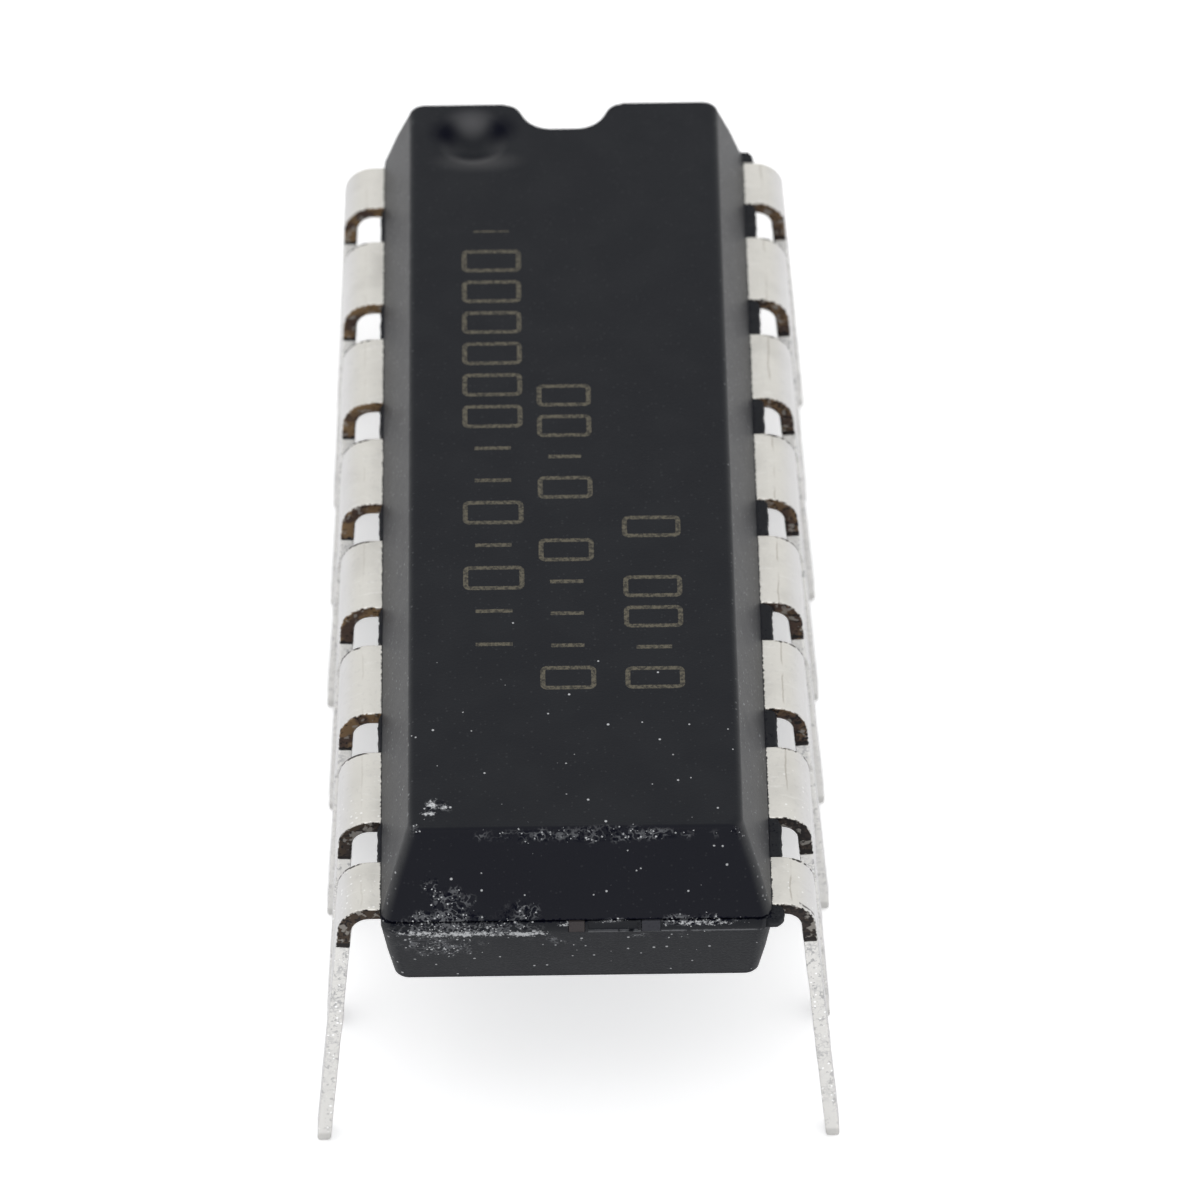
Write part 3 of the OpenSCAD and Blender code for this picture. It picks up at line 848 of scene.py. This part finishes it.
def leadPath(pin):
    # middle of the sheet from the body to the tip: place, direction of its outer face
    lean = math.radians(lead["lean"][pin - 1])
    edge, half = body["halfWidth"], lead["thickness"] / 2
    radius = lead["bendRadius"] + half
    points = []

    def spaced(length):
        return max(2, int(length / lead["step"]))

    run = lead["inside"] + lead["straight"]
    count = spaced(run)
    for i in range(count):
        points.append((edge - lead["inside"] + run * i / count, 0.0, math.pi / 2))
    centre = (edge + lead["straight"], -radius)
    sweep = math.pi / 2 - lean
    count = spaced(radius * sweep)
    for i in range(count):
        turn = math.pi / 2 - sweep * i / count
        points.append((centre[0] + radius * math.cos(turn), centre[1] + radius * math.sin(turn), turn))
    start = (centre[0] + radius * math.cos(lean), centre[1] + radius * math.sin(lean))
    drop = leadPlane + start[1]
    count = spaced(drop)
    for i in range(count + 1):
        share = i / count
        # the tip is cut level, so the rings turn level on the way down
        turn = lean * (1 - min(1, share * 1.2))
        points.append((start[0] + math.tan(lean) * drop * share, start[1] - drop * share, turn))
    return points


def halfAt(z, base):
    # half width of a lead on one side at a height below the lead plane
    depth = -z
    if depth < lead["wideDepth"]:
        half = base
    elif depth < lead["seatDepth"]:
        share = (depth - lead["wideDepth"]) / (lead["seatDepth"] - lead["wideDepth"])
        half = base + (lead["legHalf"] - base) * share
    else:
        half = lead["legHalf"]
    bevel = depth - (leadPlane - lead["tipBevel"])
    return half - max(0, bevel)


def leadSection(low, high, half, curve):
    # rounded rectangle: across the row, through the sheet, and how much it is a sheared side
    left, right, top = -low + curve, high - curve, half - curve
    span, flats, cuts = low + high - 2 * curve, 12, 4
    points = []

    def corner(across, through, fromTurn):
        for i in (1, 2):
            turn = math.radians(fromTurn - 30 * i)
            points.append((across + curve * math.cos(turn), through + curve * math.sin(turn), 0.5))

    points += [(left + span * i / flats, half, 0) for i in range(flats + 1)]
    corner(right, top, 90)
    points += [(high, top - 2 * top * i / cuts, 1) for i in range(cuts + 1)]
    corner(right, -top, 0)
    points += [(right - span * i / flats, -half, 0) for i in range(flats + 1)]
    corner(left, -top, -90)
    points += [(-low, -top + 2 * top * i / cuts, 1) for i in range(cuts + 1)]
    corner(left, top, 180)
    return points


def leadSkin(pin, side):
    # the drawn part, from just inside the body to the tip, with its sheared sides marked
    place, y = rowY(pin)
    lowBase = lead["legHalf"] if place == lead["perSide"] - 1 else lead["shoulderHalf"]
    highBase = lead["legHalf"] if place == 0 else lead["shoulderHalf"]
    seed = Vector((7.3 * pin, 3.1 * pin, 0))
    wavyFrom, wavyTo, waveSize, waveHigh = lead["wavy"]
    swayFrom, outside = lead["swayFrom"], body["halfWidth"] - 0.02
    path = leadPath(pin)
    rings, bareness = [], []
    for i, (x, z, turn) in enumerate(path):
        stub = lead["stubOut"] if x > outside and z > -lead["stubDepth"] else 0
        low, high = halfAt(z, lowBase) + stub, halfAt(z, highBase) + stub
        outward = Vector((math.cos(turn), 0, math.sin(turn)))
        thinner = max(0, i + 4 - len(path))
        half = lead["thickness"] / 2 - lead["tipThin"] * thinner
        ring = []
        for across, through, cut in leadSection(low, high, half, lead["edgeRound"]):
            point = Vector((x, y + across, z)) + outward * through
            spot = point + seed
            isBare = cut if stub else 0
            lump = rippled(spot, lead["lumps"])
            if wavyFrom < -z < wavyTo:
                lump += (noise.noise(Vector((seed.x, 0, z * waveSize))) * waveHigh
                         * math.sin(math.pi * (-wavyFrom - z) / (wavyTo - wavyFrom)))
            if isBare:
                ragged = rippled(spot, lead["raggedWaves"])
                point.y += math.copysign(lead["ragged"] * ragged * isBare, across)
            point += outward * math.copysign(1, through) * (lump - lead["relief"]) * (1 - cut)
            swayed = max(0, (-swayFrom - z) / (leadPlane - swayFrom)) ** 1.2
            point.y += lead["sway"].get(pin, 0) * swayed
            point.z = max(point.z, -leadPlane)
            ring.append((side * point.x, point.y, point.z))
            bareness.append(isBare)
        rings.append(ring)
    shape = bmesh.new()
    layer = shape.verts.layers.float.new("bare")
    made = loft(shape, rings, capStart=False)
    for vert, value in zip([v for ring in made for v in ring], bareness):
        vert[layer] = value
    return shape


def addFinger(shape, node, side):
    # the finger inside the body is the CAD node's own, cut off just inside the body's side
    openEdges = [e for e in shape.edges if e.is_boundary]
    inner = bmesh.new()
    inner.from_mesh(node.data)
    for vert in inner.verts:
        vert.co = vert.co / mm - Vector((0, 0, leadPlane))
    bmesh.ops.remove_doubles(inner, verts=inner.verts, dist=1e-4)
    cutX = body["halfWidth"] - lead["inside"] - 0.05
    everything = inner.verts[:] + inner.edges[:] + inner.faces[:]
    bmesh.ops.bisect_plane(inner, geom=everything, dist=1e-5, plane_co=(side * cutX, 0, 0),
                           plane_no=(side, 0, 0), clear_outer=True)
    copied = {v: shape.verts.new(v.co) for v in inner.verts}
    for face in inner.faces:
        shape.faces.new([copied[v] for v in face.verts])
    inner.free()
    innerEdges = [e for e in shape.edges if e.is_boundary and e not in openEdges]
    bmesh.ops.bridge_loops(shape, edges=openEdges + innerEdges)
    bmesh.ops.recalc_face_normals(shape, faces=shape.faces)


def makeLead(pin, material):
    side = -1 if pin <= lead["perSide"] else 1
    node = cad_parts["lead_%02d" % pin]
    shape = leadSkin(pin, side)
    addFinger(shape, node, side)
    piece = addPiece("tinnedLead%02d" % pin, shape, material, [node.name])
    piece.data.shade_smooth()
    piece.data.set_sharp_from_angle(angle=math.radians(lead["sharpFrom"]))


# the lead frame's middle and the chip inside: finish, colour, metal, roughness
inside = {
    "die_paddle": ("bareCopper", "8a5a3c", 0.9, 0.45),
    "die_attach": ("silverFilm", "8e9092", 0.3, 0.6),
    "silicon_die": ("polishedSilicon", "4a515c", 0.6, 0.15),
    "bond_wire": ("drawnGold", "d8a13a", 1.0, 0.25),
}

# the sheared ends of the tie bars, on the middle line and beside it
tieBarEnds = {
    "middle": "342e2f",
    "beside": "292a32",
    "split": 0.6,  # from here on they are the one beside
    "depth": 0.15,
}


def makeInside(name, code, metallic, roughness):
    material, start, where = startMaterial(name)
    cloud = grain(where, 3, 3)
    fine = grain(where, 18, 2)
    base = colour(start, rgb(code)).mix(cloud.ramp(0.4, 0.7) * 0.5, rgb(code, 0.6))
    atEnd = along(where, "Y").size().above(body["halfLength"] - tieBarEnds["depth"])
    ends = colour(start, rgb(tieBarEnds["middle"]))
    ends = ends.mix(along(where, "X").above(tieBarEnds["split"]), rgb(tieBarEnds["beside"]))
    base = base.mix(atEnd, ends.mix(fine.ramp(0.5, 0.7) * 0.5, compound["shadeAndPits"]))
    bump = start.add("Bump", values={"Strength": 0.3, "Distance": 0.00001, "Height": fine})
    shader = start.add("BsdfPrincipled", values={
        "Base Color": base, "Roughness": roughness + (cloud - 0.5) * 0.2 + atEnd * 0.3,
        "Metallic": metallic * (1 - atEnd), "Normal": bump})
    finishMaterial(start, shader)
    return material


compoundMaterial = makeCompound()
tinMaterial = makeTin()
bodyPiece = makeBody(compoundMaterial)
print("body moulded:", len(bodyPiece.data.polygons), "faces")

makeFlash(compoundMaterial)
print("flash added")

for pin in range(1, 2 * lead["perSide"] + 1):
    makeLead(pin, tinMaterial)
print("leads formed")

for name, (title, code, metallic, roughness) in inside.items():
    material = makeInside(title, code, metallic, roughness)
    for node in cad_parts.values():
        if node.name.startswith(name):
            node.data.materials.clear()
            node.data.materials.append(material)
print("inner parts finished")

studio = {
    "floor": 0.72,
    "whiter": 0.27,  # how much whiter the camera sees the floor
    "lift": 0.46,  # how much it glows for the camera
    "mirroredLift": 0.39,  # and in metal and glass
    "shade": 0.6,  # the share of that glow taken away under the part, a painted shadow
    "shadeEdges": ((4.3, 3.9), (-4.2, -2.2), (16.0, 14.0)),  # fading at the sides, near end, far end
    "glow": (0.98, 0.985, 1.0),
    "floorSize": 1.5,  # metres
    "world": 0.82,
    "lampPlace": (-20, -40, 300),
    "lampSize": 240,
    "lampLevel": 0.9,
}


def rays(start):
    # 1 for what the camera sees itself, and 1 for what it sees in metal or through glass
    direct = start.add("LightPath", out="Is Camera Ray")
    return direct, direct.other("Is Glossy Ray").atLeast(direct.other("Is Transmission Ray"))


floorMaterial, start, where = startMaterial("paleFloor")
cloud = grain(where, 0.02, 2)
direct, mirrored = rays(start)
x, y = along(where, "X").size(), along(where, "Y")
atSide, atNear, atFar = studio["shadeEdges"]
# a painted shadow: the floor glows less under the part
shade = x.ramp(*atSide) * y.ramp(*atNear) * y.ramp(*atFar) * studio["shade"]
level = studio["floor"] + direct * studio["whiter"] + (cloud - 0.5) * 0.02
paper = start.add("BsdfDiffuse", values={"Color": level})
shine = direct * (1 - shade) * studio["lift"] + mirrored * studio["mirroredLift"]
glow = start.add("Emission", values={"Color": (*studio["glow"], 1), "Strength": shine})
finishMaterial(start, start.add("AddShader", values={0: paper, 1: glow}))
floorShape = bmesh.new()
bmesh.ops.create_grid(floorShape, x_segments=8, y_segments=8, size=studio["floorSize"])
floorMesh = bpy.data.meshes.new("floor")
floorShape.to_mesh(floorMesh)
floorShape.free()
floorMesh.materials.append(floorMaterial)
floor = bpy.data.objects.new("floor", floorMesh)
bpy.context.scene.collection.objects.link(floor)

world = bpy.data.worlds.new("studio")
world.use_nodes = True
world.node_tree.nodes.clear()
start = Wire(world.node_tree)
direct, mirrored = rays(start)
strength = studio["world"] + direct.atLeast(mirrored) * (1 - studio["world"])
sky = start.add("Background", values={"Color": (1, 1, 1, 1), "Strength": strength})
start.add("OutputWorld", values={"Surface": sky})
bpy.context.scene.world = world

lampData = bpy.data.lights.new("softbox", "AREA")
lampData.shape = "SQUARE"
lampData.size = studio["lampSize"] * mm
lampData.energy = studio["lampLevel"] * math.pi * lampData.size ** 2
lamp = bpy.data.objects.new("softbox", lampData)
lamp.location = Vector(studio["lampPlace"]) * mm
lamp.rotation_euler = (-Vector(studio["lampPlace"])).to_track_quat("-Z", "Y").to_euler()
bpy.context.scene.collection.objects.link(lamp)
print("studio lit")
